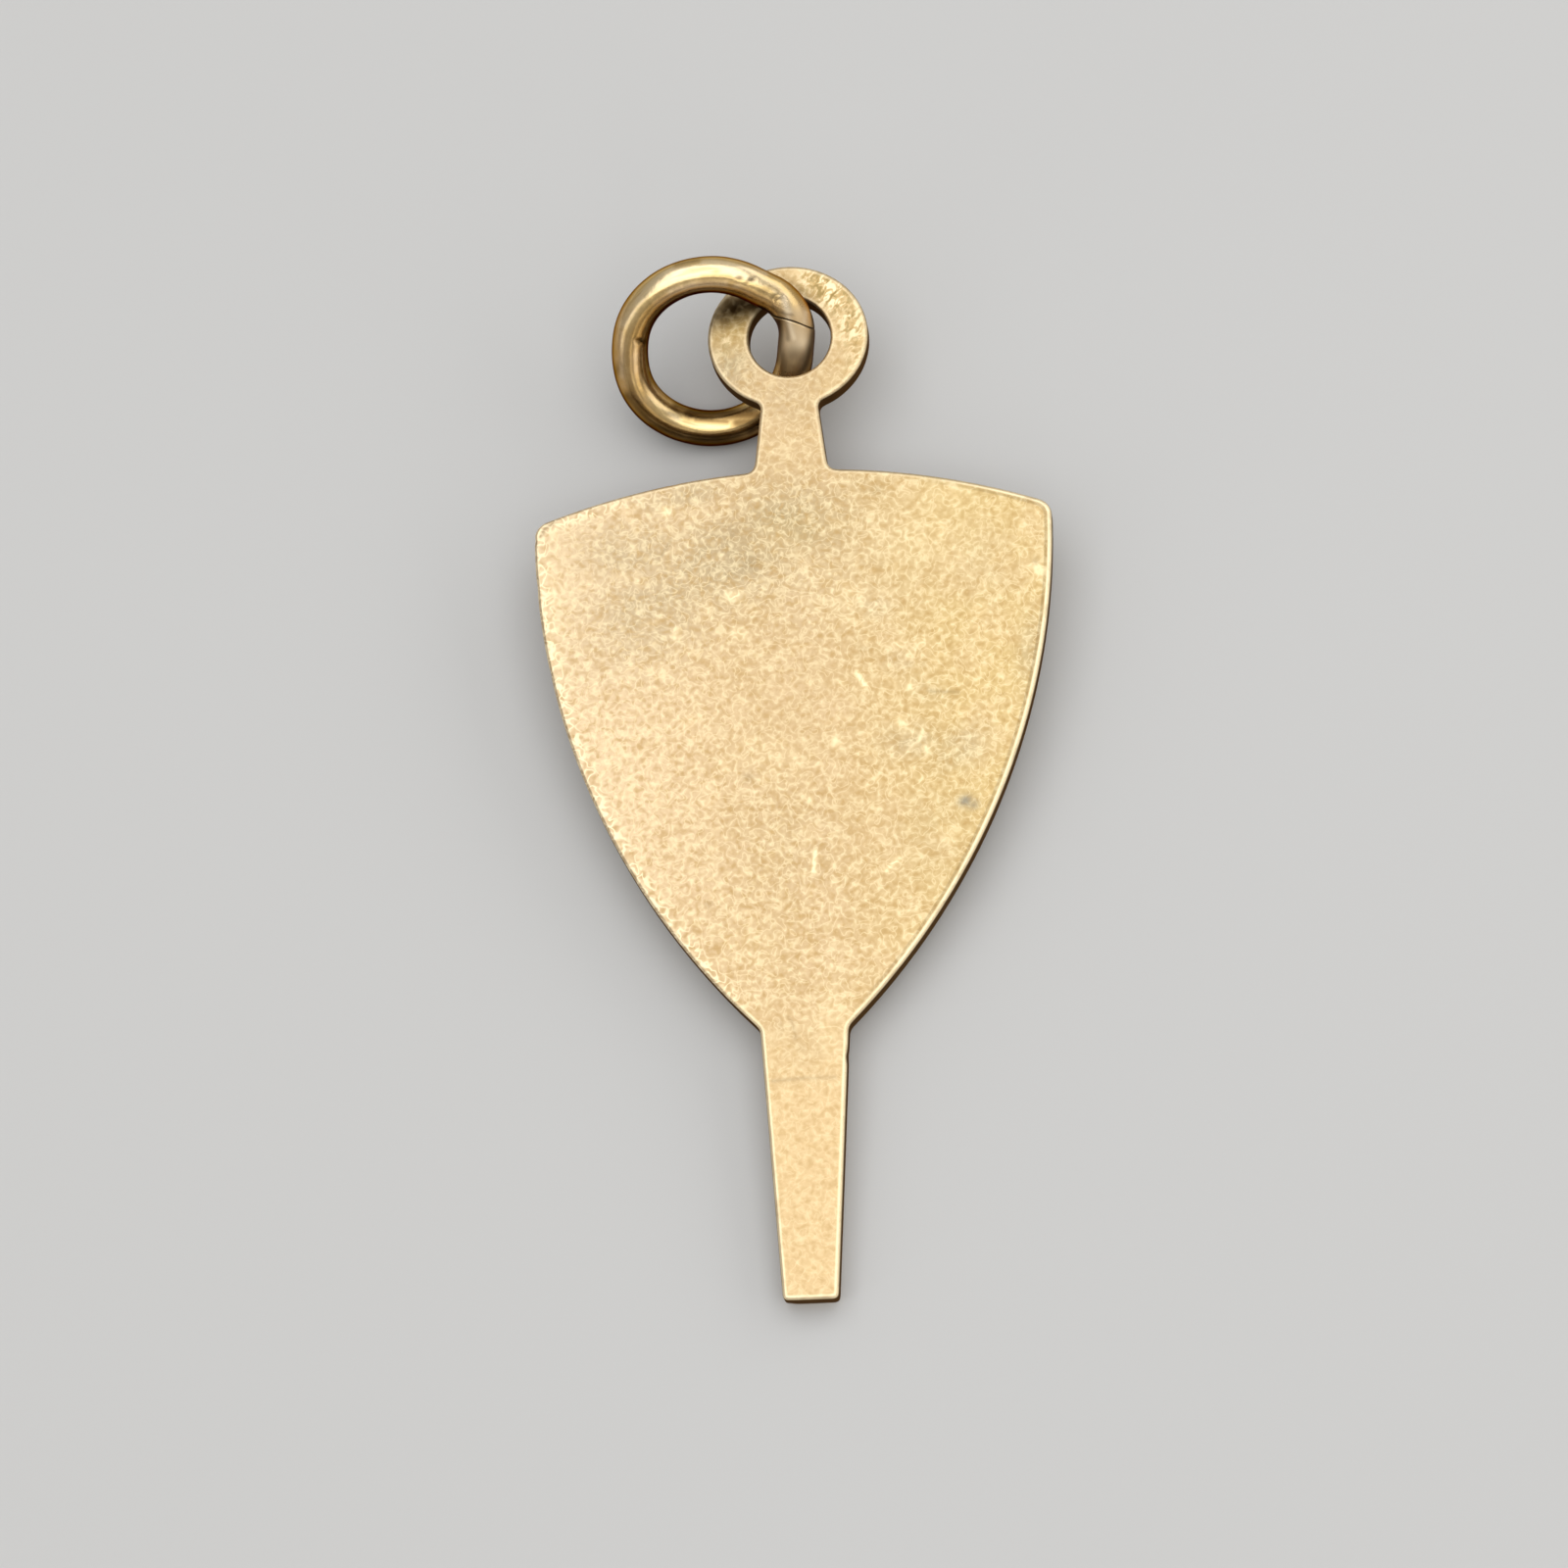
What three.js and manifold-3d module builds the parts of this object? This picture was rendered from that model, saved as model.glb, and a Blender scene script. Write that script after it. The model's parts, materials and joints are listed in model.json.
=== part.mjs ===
// Shield charm on a jump ring, in millimetres, +Z up.
// The charm lies face down: the plain back of the plate looks up, the bow points to +Y.
// The plate has its own flat frame: origin at the centre of the bow's hole, halfway through
// the sheet, +Y towards the top of the bow and +Z out of the plain back.
import * as THREE from 'three';
import { mergeVertices } from 'three/addons/utils/BufferGeometryUtils.js';
import Module from 'manifold-3d';

// Sheet
const plateThickness = 0.8;
const edgeRound = 0.1;

// Bow, the flat eye at the top, worn thinner where the ring rubs
const bowWidth = 5;
const bowHeight = 4.64;
const bowHole = 2.56;

// Neck, from the bow down to the shield
const neckTopWidth = 1.76;
const neckFootWidth = 2.3;
const neckTopFillet = 0.22;
const neckFootFillet = 0.3;

// Shield
const shieldWidth = 16;
const shieldTopDrop = 4.36;
const shieldTopRadius = 22.6;
const shieldSideRadius = 22.3;
const shieldCornerRadius = 0.57;

// Stem, the square-ended tail below the shield
const stemTopDrop = 22.05;
const stemTopWidth = 2.68;
const stemEndDrop = 30.35;
const stemEndWidth = 1.66;
const stemEndRound = 0.18;
const stemTopFillet = 0.16;

// Front of the plate: a sunk field inside a border, and a half-round rib along the stem
const borderWidth = 1;
const fieldDepth = 0.25;
const fieldCornerRadius = 0.35;
const fieldTipRadius = 0.5;
const ribWidth = 0.6;
const ribHeight = 0.2;

// Jump ring
const wireDiameter = 1.15;
const ringRadius = 2.62;
const ringReach = 0.18;
const ringHeading = THREE.MathUtils.degToRad(5.8);
const bendRadius = 1.6;
const bendHeading = THREE.MathUtils.degToRad(20);
const bendHalfAngle = THREE.MathUtils.degToRad(33);
const jointHeading = THREE.MathUtils.degToRad(18);
const jointGap = 0.06;

// Running clearance between the wire and each rim of the bow's hole
const rimClearance = 0.03;

// Fineness of the facets
const outlineTolerance = 0.004;
const wireSteps = 96;
const wireQuarterSides = 4;

const wasm = await Module();
wasm.setup();

function toSolid(geometry) {
  const bare = geometry.index ? geometry.toNonIndexed() : geometry.clone();
  bare.deleteAttribute('normal');
  bare.deleteAttribute('uv');
  const welded = mergeVertices(bare, 1e-5);
  return new wasm.Manifold(new wasm.Mesh({
    numProp: 3,
    vertProperties: new Float32Array(welded.attributes.position.array),
    triVerts: new Uint32Array(welded.index.array),
  }));
}

function toGeometry(solid) {
  const mesh = solid.getMesh();
  const geometry = new THREE.BufferGeometry();
  geometry.setAttribute('position', new THREE.BufferAttribute(mesh.vertProperties, 3));
  geometry.setIndex(new THREE.BufferAttribute(mesh.triVerts, 1));
  geometry.computeVertexNormals();
  return geometry;
}

// Points on an arc of an ellipse, close enough that no chord strays past the tolerance
function arc(centre, radiusX, radiusY, from, to) {
  const widest = 2 * Math.acos(1 - outlineTolerance / Math.max(radiusX, radiusY));
  const count = Math.max(2, Math.ceil(Math.abs(to - from) / widest));
  return Array.from({ length: count + 1 }, (_, i) => {
    const angle = from + (to - from) * i / count;
    return new THREE.Vector2(
      centre.x + radiusX * Math.cos(angle),
      centre.y + radiusY * Math.sin(angle),
    );
  });
}

// A small corner rounded between the last point before it and the first point after it
function softCorner(before, corner, after) {
  const bend = new THREE.QuadraticBezierCurve(before, corner, after);
  return bend.getPoints(4).slice(1, -1);
}

// Where two circles cross, on the side given by the sign
function circlesMeet(centreA, radiusA, centreB, radiusB, side) {
  const apart = centreB.clone().sub(centreA);
  const distance = apart.length();
  const along = (distance ** 2 + radiusA ** 2 - radiusB ** 2) / (2 * distance);
  const across = side * Math.sqrt(radiusA ** 2 - along ** 2);
  apart.divideScalar(distance);
  return new THREE.Vector2(
    centreA.x + apart.x * along - apart.y * across,
    centreA.y + apart.y * along + apart.x * across,
  );
}

const angleTo = (from, to) => Math.atan2(to.y - from.y, to.x - from.x);
const mirror = (points) => points.map((p) => new THREE.Vector2(-p.x, p.y)).reverse();

// The shield's three big arcs: one across the top, one down each side
const topCentre = new THREE.Vector2(0, -shieldTopDrop - shieldTopRadius);
const topCorner = new THREE.Vector2(
  shieldWidth / 2,
  topCentre.y + Math.sqrt(shieldTopRadius ** 2 - (shieldWidth / 2) ** 2),
);
const shoulder = new THREE.Vector2(stemTopWidth / 2, -stemTopDrop);
const sideCentre = circlesMeet(topCorner, shieldSideRadius, shoulder, shieldSideRadius, -1);

// The right upper corner of the shield, or of an outline set in from it
function shieldCorner(inset, radius) {
  const top = shieldTopRadius - inset;
  const side = shieldSideRadius - inset;
  const centre = circlesMeet(topCentre, top - radius, sideCentre, side - radius, -1);
  return {
    centre,
    radius,
    topAngle: angleTo(topCentre, centre),
    sideAngle: angleTo(sideCentre, centre),
  };
}

function plateOutline() {
  const neckTop = new THREE.Vector2(
    neckTopWidth / 2,
    -bowHeight / 2 * Math.sqrt(1 - (neckTopWidth / bowWidth) ** 2),
  );
  const neckFoot = new THREE.Vector2(
    neckFootWidth / 2,
    topCentre.y + Math.sqrt(shieldTopRadius ** 2 - (neckFootWidth / 2) ** 2),
  );
  const neckSide = neckFoot.clone().sub(neckTop).normalize();
  const neckStart = neckTop.clone().addScaledVector(neckSide, neckTopFillet);
  const neckEnd = neckFoot.clone().addScaledVector(neckSide, -neckFootFillet);

  const bowAngle = -Math.acos(neckTopWidth / bowWidth) + 2 * neckTopFillet / bowWidth;
  const bow = arc(new THREE.Vector2(), bowWidth / 2, bowHeight / 2, Math.PI / 2, bowAngle);

  const corner = shieldCorner(0, shieldCornerRadius);
  const topStart = angleTo(topCentre, neckFoot) - neckFootFillet / shieldTopRadius;
  const top = arc(topCentre, shieldTopRadius, shieldTopRadius, topStart, corner.topAngle);
  const round = arc(
    corner.centre, corner.radius, corner.radius, corner.topAngle, corner.sideAngle,
  );

  const sideEnd = angleTo(sideCentre, shoulder) + stemTopFillet / shieldSideRadius;
  const side = arc(
    sideCentre, shieldSideRadius, shieldSideRadius, corner.sideAngle, sideEnd,
  );

  const stemCorner = new THREE.Vector2(stemEndWidth / 2, -stemEndDrop);
  const stemSide = stemCorner.clone().sub(shoulder).normalize();
  const stemStart = shoulder.clone().addScaledVector(stemSide, stemTopFillet);
  const stemEnd = stemCorner.clone().addScaledVector(stemSide, -stemEndRound);
  const stemFoot = new THREE.Vector2(stemCorner.x - stemEndRound, stemCorner.y);

  const right = [
    ...bow,
    ...softCorner(bow.at(-1), neckTop, neckStart),
    neckStart,
    neckEnd,
    ...softCorner(neckEnd, neckFoot, top[0]),
    ...top,
    ...round.slice(1, -1),
    ...side,
    ...softCorner(side.at(-1), shoulder, stemStart),
    stemStart,
    stemEnd,
    ...softCorner(stemEnd, stemCorner, stemFoot),
    stemFoot,
  ];
  return [...right, ...mirror(right).slice(0, -1)];
}

// The field's outline runs one border's width inside the shield and closes to a point
function fieldOutline() {
  const corner = shieldCorner(borderWidth, fieldCornerRadius);
  const topRadius = shieldTopRadius - borderWidth;
  const sideRadius = shieldSideRadius - borderWidth;
  const tipReach = sideRadius - fieldTipRadius;
  const tipCentre = new THREE.Vector2(
    0,
    sideCentre.y - Math.sqrt(tipReach ** 2 - sideCentre.x ** 2),
  );
  const tipAngle = angleTo(sideCentre, tipCentre);
  const right = [
    ...arc(topCentre, topRadius, topRadius, Math.PI / 2, corner.topAngle),
    ...arc(corner.centre, corner.radius, corner.radius, corner.topAngle, corner.sideAngle)
      .slice(1, -1),
    ...arc(sideCentre, sideRadius, sideRadius, corner.sideAngle, tipAngle),
    ...arc(tipCentre, fieldTipRadius, fieldTipRadius, tipAngle, -Math.PI / 2).slice(1),
  ];
  return { points: [...right, ...mirror(right).slice(1, -1)], tip: tipCentre.y - fieldTipRadius };
}

function makePlate() {
  const blank = new THREE.Shape(plateOutline());
  blank.holes.push(new THREE.Path(
    arc(new THREE.Vector2(), bowHole / 2, bowHole / 2, 0, 2 * Math.PI).slice(0, -1),
  ));
  const sheet = new THREE.ExtrudeGeometry(blank, {
    depth: plateThickness - 2 * edgeRound,
    bevelThickness: edgeRound,
    bevelSize: edgeRound,
    bevelOffset: -edgeRound,
    bevelSegments: 2,
  });
  sheet.translate(0, 0, edgeRound - plateThickness / 2);

  const field = fieldOutline();
  const sink = new THREE.ExtrudeGeometry(new THREE.Shape(field.points), {
    depth: plateThickness,
    bevelEnabled: false,
  });
  sink.translate(0, 0, fieldDepth - plateThickness * 1.5);

  // The rib is a segment of a round bar whose chord is as wide as the rib
  const barRadius = (ribWidth ** 2 / 4 + ribHeight ** 2) / (2 * ribHeight);
  const ribTop = field.tip - borderWidth / 2;
  const ribEnd = -stemEndDrop + edgeRound;
  const halfAngle = Math.asin(ribWidth / 2 / barRadius);
  const section = new THREE.Shape([
    ...arc(new THREE.Vector2(), barRadius, barRadius, -halfAngle, halfAngle),
    new THREE.Vector2(barRadius - ribHeight - plateThickness / 2, ribWidth / 2),
    new THREE.Vector2(barRadius - ribHeight - plateThickness / 2, -ribWidth / 2),
  ]);
  const rib = new THREE.ExtrudeGeometry(section, { depth: ribTop - ribEnd, bevelEnabled: false });
  rib.rotateY(Math.PI / 2);
  rib.rotateZ(Math.PI / 2);
  rib.translate(0, ribEnd, barRadius - ribHeight - plateThickness / 2);

  return toGeometry(toSolid(sheet).subtract(toSolid(sink)).add(toSolid(rib)));
}

// A flat run of arcs and lines used as the centre line of a bent wire
class FlatRun extends THREE.Curve {
  constructor(path) {
    super();
    this.path = path;
  }

  getPoint(t, target = new THREE.Vector3()) {
    const point = this.path.getPoint(t);
    return target.set(point.x, point.y, 0);
  }
}

// The wire lies in its own plane round its own centre: a big arc, and a tighter bend that
// holds the joint of its two ends, with straight stretches between the arc and the bend.
function makeRing() {
  const bendStart = bendHeading - bendHalfAngle;
  const bendEnd = bendHeading + bendHalfAngle;
  const bendReach = (ringRadius - bendRadius) / Math.cos(bendHalfAngle);
  const bendX = bendReach * Math.cos(bendHeading);
  const bendY = bendReach * Math.sin(bendHeading);

  const path = new THREE.Path();
  path.absarc(bendX, bendY, bendRadius, jointHeading, bendEnd, false);
  path.absarc(0, 0, ringRadius, bendEnd, bendStart + 2 * Math.PI, false);
  path.absarc(
    bendX, bendY, bendRadius, bendStart, jointHeading - jointGap / bendRadius, false,
  );

  const section = new THREE.Shape();
  section.absarc(0, 0, wireDiameter / 2, 0, 2 * Math.PI, false);
  return new THREE.ExtrudeGeometry(section, {
    steps: wireSteps,
    curveSegments: 2 * wireQuarterSides,
    extrudePath: new FlatRun(path),
  });
}

const brass = new THREE.MeshStandardMaterial({ color: 0xcfae74, roughness: 0.42, metalness: 1 });
const agedBrass = new THREE.MeshStandardMaterial({ color: 0x94703c, roughness: 0.34, metalness: 1 });

const plate = new THREE.Mesh(makePlate(), brass);
plate.name = 'shield_plate';

const ring = new THREE.Mesh(makeRing(), agedBrass);
ring.name = 'jump_ring';
const ringCentre = ringRadius - ringReach;
ring.position.x = -ringCentre;

// The ring folds down until its wire meets both rims of the hole
const holeSlant = Math.hypot(bowHole, plateThickness);
const foldAngle = Math.atan2(plateThickness, bowHole)
  + Math.asin((wireDiameter + 2 * rimClearance) / holeSlant);
const fold = new THREE.Group();
fold.rotation.x = foldAngle;
fold.add(ring);
const heading = new THREE.Group();
heading.rotation.z = ringHeading;
heading.add(fold);

// The plate leans on the low side of the ring and on the end of the stem's rib:
// a line from the rib's end touches the round of the wire
const drop = plateThickness / 2 + ribHeight - ringRadius * Math.sin(foldAngle);
const span = stemEndDrop - edgeRound - ringCentre * Math.sin(ringHeading)
  - ringRadius * Math.cos(foldAngle) * Math.cos(ringHeading);
const lean = Math.asin(wireDiameter / 2 / Math.hypot(drop, span)) - Math.atan2(drop, span);

const charm = new THREE.Group();
charm.rotation.x = lean;
charm.add(plate, heading);

// The origin is on the surface that the charm lies on, under the middle of its extent
const extent = new THREE.Box3().setFromObject(charm, true);
const middle = extent.getCenter(new THREE.Vector3());
charm.position.set(-middle.x, -middle.y, -extent.min.z);

const part = new THREE.Group();
part.add(charm);

export default part;
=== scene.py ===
import json
import math

import bmesh
import bpy
import numpy as np
from mathutils import Matrix, Vector, noise
from mathutils.geometry import delaunay_2d_cdt
from mathutils.kdtree import KDTree


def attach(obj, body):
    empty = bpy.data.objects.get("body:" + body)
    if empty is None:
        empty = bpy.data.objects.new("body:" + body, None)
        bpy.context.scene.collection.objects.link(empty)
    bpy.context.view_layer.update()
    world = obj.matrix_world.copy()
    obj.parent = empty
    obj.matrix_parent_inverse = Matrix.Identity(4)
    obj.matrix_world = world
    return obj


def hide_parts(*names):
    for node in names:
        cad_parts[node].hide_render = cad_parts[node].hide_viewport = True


# A shield charm face down on a pale floor, its jump ring folded to the left.
# Sizes are in millimetres, places in the photograph in pixels of its 1600 x 1600 frame.
# The row frame is the record's own: +Y from the stem's end to the bow, and +Z up.
MM = 0.001
PHOTO_SIDE = 1600

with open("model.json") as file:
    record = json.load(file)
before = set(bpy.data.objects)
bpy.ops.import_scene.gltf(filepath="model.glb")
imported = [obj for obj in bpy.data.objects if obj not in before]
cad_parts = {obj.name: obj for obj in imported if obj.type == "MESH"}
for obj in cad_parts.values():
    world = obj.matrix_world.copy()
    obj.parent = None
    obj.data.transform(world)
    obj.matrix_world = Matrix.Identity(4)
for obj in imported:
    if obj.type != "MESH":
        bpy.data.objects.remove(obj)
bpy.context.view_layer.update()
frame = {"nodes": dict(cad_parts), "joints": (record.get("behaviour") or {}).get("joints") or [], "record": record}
flip = frame["joints"][0]
mounts = {mount["name"]: mount for mount in frame["record"]["mounts"]}

# Camera: its focal length and the offset of its aim are in pixels of the photograph
FOCAL = 6000
SENSOR = 36
CAMERA_NEAR = 10
CAMERA_DISTANCE = 179.6
TARGET_HEIGHT = 1.5
AIM_OFFSET = (15.8, 9.24)
LEAN_SOUTH = math.radians(19.219)
LEAN_EAST = math.radians(4.43)
ROLL = math.radians(-1.03)

# Meshes: how close points are welded, and how near or how level counts as the same
SOLID_WELD = 0.001
MESH_WELD = 0.0002
SAME_HEIGHT = 0.002
SAME_PLACE = 0.01
LEVEL = 0.99

# Plate: the round of its edges, the soft crown of its faces beside them, its hole and its front
EDGE_INSET = 0.1
EDGE_DROP = 0.1
CROWN_DROP = 0.016
CROWN_REACH = 0.14
HOLE_SHIFT = (0.055, -0.02, 0)
HOLE_SHIFT_REACH = 0.5
FIELD_WALL = (-0.03, 0.05)
RIB_END_ROUND = 0.1

# Plate: the spacing of its mesh, and how far the points of one kind keep from the next
CDT_INSIDE = 1
CDT_TOLERANCE = 1e-6
OUTLINE_SPACING = 0.06
CURVE_STEPS = 24
EDGE_STEPS = 6
WALL_STEPS = 4
RIM_BANDS = (0.13, 0.165, 0.2, 0.24, 0.29, 0.36, 0.45)
SHIELD_GRID = 0.13
BOW_GRID = 0.075
FIELD_BANDS = (-0.07, -0.03, 0.0, 0.03, 0.06, 0.12)
RIB_STATIONS = 13
RIB_GRID = 0.12
BAND_SLACK = 0.015
EDGE_CLEARANCE = 0.02
FIELD_CLEARANCE = 0.06
RIB_CLEARANCE = 0.03
LINE_CLEARANCE = 0.05

# Jump ring: the same run of wire as in the solid. Its ends are cut at a slant, and a pinch nearly
# closes the joint on the outer side. The run is a little flatter at the far side.
WIRE_RADIUS = 0.575
RING_RADIUS = 2.62
BEND_RADIUS = 1.6
BEND_HEADING = math.radians(20)
BEND_HALF_ANGLE = math.radians(33)
JOINT_HEADING = math.radians(18)
JOINT_GAP = 0.06
CUT_SLANT = math.tan(math.radians(44))
CUT_REACH = 1.2
CUT_OVERRUN = 0.65
CUT_PINCH = 0.052
FLAT_DEPTH = 0.085
FLAT_HEADING = math.radians(172)
FLAT_REACH = math.radians(26)
WIRE_SPACING = 0.05
WIRE_SIDES = 64
END_CHAMFER = 0.05
END_CHAMFER_STEPS = 3
END_CLEARANCE = 0.075

# Unevenness of the metal: a depth, a size and a seed for each run of waves. The axes draw out
# the waves of a scuff along a slant.
SEED_SHIFT = (17.3, 5.1, 9.7)
SHEET_BEND = (0.012, 6, 1)
STRUCK_BROAD = (0.004, 1.3, 2)
STRUCK_FINE = (0.0015, 0.5, 3)
SCUFF_WAVES = (0.016, 0.3, 4)
WIRE_BROAD = (0.006, 0.9, 5)
WIRE_FINE = (0.002, 0.25, 6)
SCRATCH_AXES = np.array([[-0.95, 0.35, 0], [0.8, 0.45, 0], [0, 0, 0]])
GROOVE_DEPTH = 0.012
NICK_DEPTH = 0.05
NICK_FADE = (0.05, 0.3)
PIT_DEPTH = 0.02

# Heights on the plate, up from the middle of the bow's hole, where one part passes into the next
NECK_FOOT = (-4.8, -4.0)
SHIELD_TOP = (-4.7, -5.6)
SHIELD_FOOT = (-21.8, -21.2)
STEM_TOP = (-20.5, -23.5)

# Where the plate is pale, worn or dull, where its rim takes a painted highlight and where its side
# walls take painted shade: places across it, distances from its middle line and its edges, and
# shares
PALE_LEFT = (-6.6, -0.6)
OLIVE_RIGHT = (0.0, 6.0)
SIDE_BEGINS = (1, 3)
WALL_TILT = (0.15, 0.6)
WALL_TILT_LEFT = (0.02, 0.25)
RIM_WEAR_AND_HIGHLIGHT = 0.4
RIM_WEAR_AND_HIGHLIGHT_RIGHT = 0.6
RIM_WEAR_AND_HIGHLIGHT_LEFT = -0.2
RIM_WEAR_AND_HIGHLIGHT_STEM = 0.5
SPECKLED_FADE = (0.1, 0.55)
NECK_CALM = 0.75
FIELD_TARNISH = 0.7
FIELD_RUBBED = 0.6
FIELD_FADE = (0.1, 0.6)

# How far a face turns up or to the camera before it takes marks, and how level the wire lies
# where it is painted bright, a highlight that is partly wear, and where it takes painted shade
FACING = 0.2
FACING_FADE = (0, 0.3)
FACING_FACET = 0.5
HIGHLIGHT_AND_WEAR_TILT = (0.52, 0.95)
UNDER_TILT = (0.42, 0.0)

# The drawn wire's lines: how many follow each other along it, and how many lie round it
DRAWN_ALONG = 12.0
DRAWN_ROUND = 26.0

# Points of the mesh along each stroke: their step in pixels, and their rows in its widths
LINE_STEP = 2.5
LINE_ROWS = (-1.5, -0.75, 0, 0.75, 1.5)

# Stage
FLOOR_REACH = 600
FLOOR_COLOUR = (0.60, 0.60, 0.595, 1)
FLOOR_ROUGHNESS = 0.9
SKY_COLOUR = (1.0, 0.98, 0.95, 1)
SKY_STRENGTH = 0.36

# Softboxes: a name, a tilt from straight above and a compass heading in degrees, the distance,
# width and height, and the power in watts. North is where the bow points.
SOFTBOXES = (
    ("key", 2, 0, 300, 420, 480, 0.82),
    ("north", 58, 0, 320, 420, 220, 0.05),
    ("east", 63, 77, 320, 560, 170, 0.27),
    ("south_east", 78, 146, 320, 130, 140, 0.06),
    ("south", 62, 174, 320, 60, 150, 0.02),
    ("west", 62, 237, 320, 110, 220, 0.05),
)


# Camera


def camera_axes():
    """The camera's right, up and backward directions in the row frame."""
    back = np.array([
        math.sin(LEAN_EAST),
        -math.sin(LEAN_SOUTH) * math.cos(LEAN_EAST),
        math.cos(LEAN_SOUTH) * math.cos(LEAN_EAST),
    ])
    side = np.cross([0, 1, 0], back)
    side /= np.linalg.norm(side)
    up = np.cross(back, side)
    cos, sin = math.cos(ROLL), math.sin(ROLL)
    return cos * side + sin * up, cos * up - sin * side, back


RIGHT, UP, BACK = camera_axes()
EYE = (
    np.array([0, 0, TARGET_HEIGHT])
    + CAMERA_DISTANCE * BACK
    - (AIM_OFFSET[0] * RIGHT + AIM_OFFSET[1] * UP) * CAMERA_DISTANCE / FOCAL
)


def pixels(points):
    """Where points of the row frame, in metres, lie in the photograph."""
    seen = np.asarray(points) / MM - EYE
    depth = -seen @ BACK
    return np.column_stack((
        PHOTO_SIDE / 2 + FOCAL * (seen @ RIGHT) / depth,
        PHOTO_SIDE / 2 - FOCAL * (seen @ UP) / depth,
    ))


def make_camera():
    data = bpy.data.cameras.new("Camera")
    data.sensor_width = SENSOR
    data.lens = SENSOR * FOCAL / PHOTO_SIDE
    data.clip_start = CAMERA_NEAR * MM
    camera = bpy.data.objects.new("Camera", data)
    turn = Matrix((RIGHT, UP, BACK)).transposed().to_4x4()
    camera.matrix_world = Matrix.Translation(Vector(EYE * MM)) @ turn
    bpy.context.scene.collection.objects.link(camera)
    bpy.context.scene.camera = camera


# Reading the solids


def frame_matrix(origin, side, up):
    """From a piece's own millimetres to the row frame in metres."""
    side = Vector(side).normalized()
    along = Vector(up).cross(side).normalized()
    up = side.cross(along)
    turn = Matrix((side, along, up)).transposed().to_4x4()
    return Matrix.Translation(origin) @ turn @ Matrix.Scale(MM, 4)


def plate_matrix():
    """Origin at the centre of the bow's hole, +Y to the bow's top, +Z out of the plain back."""
    up = -Vector(mounts["front_field"]["axis"])
    return frame_matrix(Vector(flip["pos_m"]), (1, 0, 0), up)


def ring_matrix():
    """Origin at the ring's centre, +X along the hinge, +Z out of the ring's upper side."""
    side = Vector(flip["axis"]).normalized()
    loop = mounts["ring_loop"]
    centre = Vector(loop["pos_m"]) + side * (RING_RADIUS - WIRE_RADIUS) * MM
    return frame_matrix(centre, side, loop["axis"])


def solid(node, matrix):
    """A CAD node in a piece's own millimetres."""
    bm = bmesh.new()
    bm.from_mesh(frame["nodes"][node].data)
    bm.transform(matrix.inverted())
    bmesh.ops.remove_doubles(bm, verts=bm.verts, dist=SOLID_WELD)
    bm.normal_update()
    return bm


def rims(faces, keep):
    """The closed loops round a set of faces, through the corners that pass the test."""
    chosen = set(faces)
    links = {}
    for face in faces:
        for edge in face.edges:
            inside = sum(f in chosen for f in edge.link_faces)
            if inside == 1 and all(keep(v.co) for v in edge.verts):
                a, b = edge.verts
                links.setdefault(a, []).append(b)
                links.setdefault(b, []).append(a)
    loops = []
    while links:
        here = next(iter(links))
        loop = []
        while here in links:
            loop.append(here.co.xy)
            ways = links.pop(here)
            here = next((v for v in ways if v in links), None)
        loops.append(np.array(loop))
    return sorted(loops, key=lambda loop: -np.ptp(loop[:, 1]))


def turned(loop, anticlockwise):
    """A loop's points in the order that runs round it the given way."""
    ahead = np.roll(loop, -1, 0)
    area = np.sum(loop[:, 0] * ahead[:, 1] - loop[:, 1] * ahead[:, 0])
    return loop if (area > 0) == anticlockwise else loop[::-1]


def unit(vectors):
    """The vectors at length 1."""
    return vectors / np.linalg.norm(vectors, axis=-1, keepdims=True)


def resample(loop, spacing):
    """Evenly spaced points along a smooth curve through a loop's own points."""
    ahead = np.roll(loop, -1, 0) - loop
    length = np.linalg.norm(ahead, axis=1, keepdims=True)
    before = np.roll(length, 1, 0)
    tangent = unit(ahead * before / length + np.roll(ahead, 1, 0) * length / before)
    start = tangent * np.minimum(length, before)
    end = np.roll(tangent, -1, 0) * np.minimum(length, np.roll(length, -1, 0))
    stop = np.roll(loop, -1, 0)
    curve = np.stack([
        (2 * t**3 - 3 * t**2 + 1) * loop + (t**3 - 2 * t**2 + t) * start
        + (3 * t**2 - 2 * t**3) * stop + (t**3 - t**2) * end
        for t in np.linspace(0, 1, CURVE_STEPS, endpoint=False)
    ], axis=1).reshape(-1, 2)
    curve = np.concatenate([curve, curve[:1]])
    run = np.concatenate([[0], np.cumsum(np.linalg.norm(np.diff(curve, axis=0), axis=1))])
    places = np.linspace(0, run[-1], round(run[-1] / spacing), endpoint=False)
    return np.column_stack([np.interp(places, run, curve[:, k]) for k in range(2)])


def inward(loop):
    """Normals to the left of a loop, which is the side the material is on."""
    ahead = unit(np.roll(loop, -1, 0) - np.roll(loop, 1, 0))
    return np.column_stack((-ahead[:, 1], ahead[:, 0]))


class Nearness:
    """Distances from points to some loops."""

    def __init__(self, *loops):
        points = np.concatenate(loops)
        self.tree = KDTree(len(points))
        for i, point in enumerate(points):
            self.tree.insert((*point, 0), i)
        self.tree.balance()

    def __call__(self, points):
        return np.array([self.tree.find((*p, 0))[2] for p in np.asarray(points)[:, :2]])


def within(loop, points):
    """Whether each point lies inside a loop."""
    inside = np.zeros(len(points), bool)
    x, y = np.asarray(points)[:, :2].T
    for (ax, ay), (bx, by) in zip(loop, np.roll(loop, -1, 0)):
        if ay != by:
            crosses = (ay > y) != (by > y)
            inside ^= crosses & (x < ax + (y - ay) * (bx - ax) / (by - ay))
    return inside


# Marks placed by the photograph


def smooth(low, high, values):
    """From 0 at the low value to 1 at the high one, with soft ends."""
    t = np.clip((values - low) / (high - low), 0, 1)
    return t * t * (3 - 2 * t)


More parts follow.
